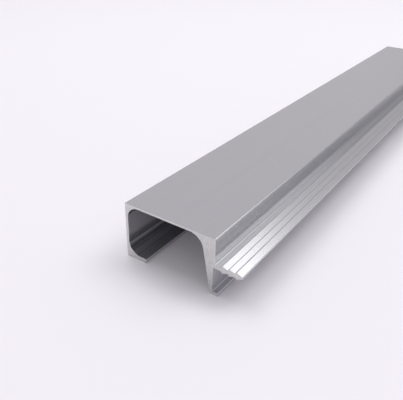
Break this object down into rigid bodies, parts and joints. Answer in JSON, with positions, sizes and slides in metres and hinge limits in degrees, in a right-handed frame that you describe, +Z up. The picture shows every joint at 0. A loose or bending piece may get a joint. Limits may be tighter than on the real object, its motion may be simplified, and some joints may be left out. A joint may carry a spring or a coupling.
{
  "type": "aluminium extrusion profile",
  "caption": "Cut length of extruded aluminium edge handle profile: an open channel with a finger pull behind its lip, a barbed fin for a sawn kerf, and a foot that lies under the board.",
  "frame": {"origin": "centre of the bounding box across and along, on the plane that the lip and the foot rest on", "axes": "+X across the section towards the barbed fin, +Y along the length, +Z up, out of the flat top"},
  "size_m": [0.0422, 0.265, 0.0195],
  "materials": {
    "profile": "satin anodised"
  },
  "bodies": {
    "root": {"profile": "profile"}
  },
  "joints": []
}
